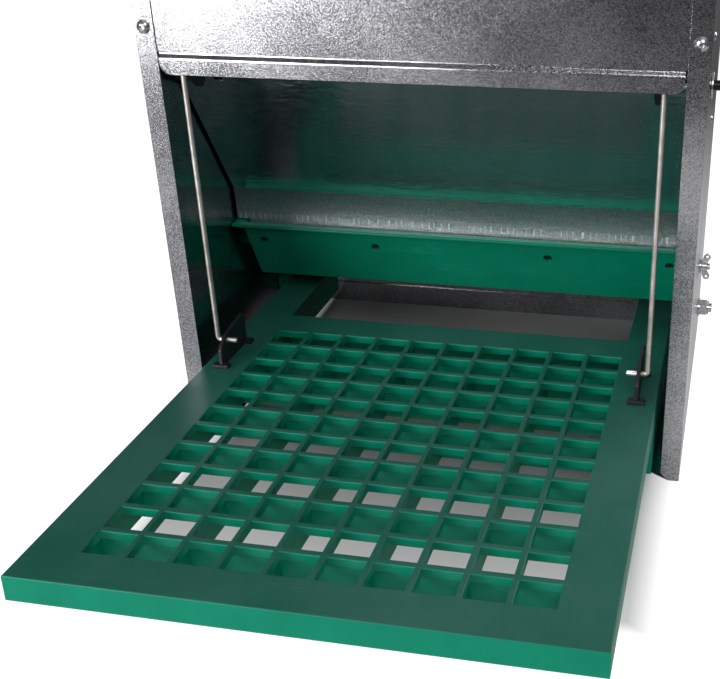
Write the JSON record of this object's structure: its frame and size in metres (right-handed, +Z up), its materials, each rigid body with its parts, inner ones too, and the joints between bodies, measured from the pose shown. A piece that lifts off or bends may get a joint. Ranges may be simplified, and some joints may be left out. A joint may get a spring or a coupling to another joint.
{
  "type": "treadle poultry feeder",
  "caption": "Sheet-steel poultry feeder: a hinged step plate pulls two rods that swing a flap open over the feed trough; sloping lid on a rear hinge.",
  "frame": {"origin": "on the ground, under the middle of the whole footprint", "axes": "+X to the right, +Y to the back of the housing, +Z up; the step plate points to -Y"},
  "size_m": [0.4244, 0.5974, 0.5645],
  "materials": {
    "galvanised": "galvanised sheet, fine spangle",
    "flap_steel": "bright galvanised sheet",
    "green_step": "moulded plastic with scuffs",
    "green_trough": "satin moulded plastic",
    "black_plastic": "satin black",
    "black_steel": "black",
    "dark_steel": "plain rolled bar",
    "rod_wire": "zinc-plated wire, dull",
    "zinc": "zinc plated"
  },
  "bodies": {
    "housing": {"left_side_panel": "galvanised", "right_side_panel": "galvanised", "front_panel": "galvanised", "back_panel": "galvanised", "feed_baffle": "galvanised", "feed_trough": "green_trough", "front_screws": "zinc", "front_nuts": "zinc", "back_rivets": "zinc", "baffle_rivets": "zinc", "trough_bolts": "zinc", "wing_nuts": "zinc", "axle_bushes": "black_plastic", "axle_washers": "zinc", "pivot_bolts": "zinc", "pivot_washers": "zinc", "pivot_nuts": "zinc", "lid_hinge_leaf": "zinc", "lid_hinge_pin": "zinc", "hinge_rivets": "zinc"},
    "treadle": {"treadle_plate": "green_step", "treadle_arm_left": "green_step", "treadle_arm_right": "green_step", "rod_bracket_left": "black_plastic", "rod_bracket_right": "black_plastic", "bracket_screws": "zinc"},
    "left_rod": {"rod_left": "rod_wire"},
    "right_rod": {"rod_right": "rod_wire"},
    "flap": {"feed_flap": "flap_steel", "flap_axle": "black_steel", "lever_left": "black_plastic", "lever_right": "black_plastic", "lever_screws": "zinc", "flap_weight": "dark_steel"},
    "lid": {"lid_panel": "galvanised", "lid_hinge_strap": "zinc", "lid_rivets": "zinc"}
  },
  "joints": [
    {"name": "treadle_hinge", "type": "hinge", "parent": "housing", "child": "treadle", "pos_m": [0, 0.23566, 0.0445], "axis": [1, 0, 0], "range_deg": [0, 3.3]},
    {"name": "flap_hinge", "type": "hinge", "parent": "housing", "child": "flap", "pos_m": [0, 0.05866, 0.295], "axis": [1, 0, 0], "range_deg": [0, 17.15]},
    {"name": "left_rod_pivot", "type": "hinge", "parent": "treadle", "child": "left_rod", "pos_m": [-0.1645, 0.01716, 0.088], "axis": [1, 0, 0], "range_deg": [-3.78, 0.2]},
    {"name": "right_rod_pivot", "type": "hinge", "parent": "treadle", "child": "right_rod", "pos_m": [0.1645, 0.01716, 0.088], "axis": [1, 0, 0], "range_deg": [-3.78, 0.2]},
    {"name": "lid_hinge", "type": "hinge", "parent": "housing", "child": "lid", "pos_m": [0, 0.29466, 0.5605], "axis": [-1, 0, 0], "range_deg": [0, 105]}
  ],
  "couplings": [
    {"joint": "flap_hinge", "follows": "treadle_hinge", "ratio": 5.197},
    {"joint": "left_rod_pivot", "follows": "treadle_hinge", "ratio": -1.085},
    {"joint": "right_rod_pivot", "follows": "treadle_hinge", "ratio": -1.085}
  ]
}
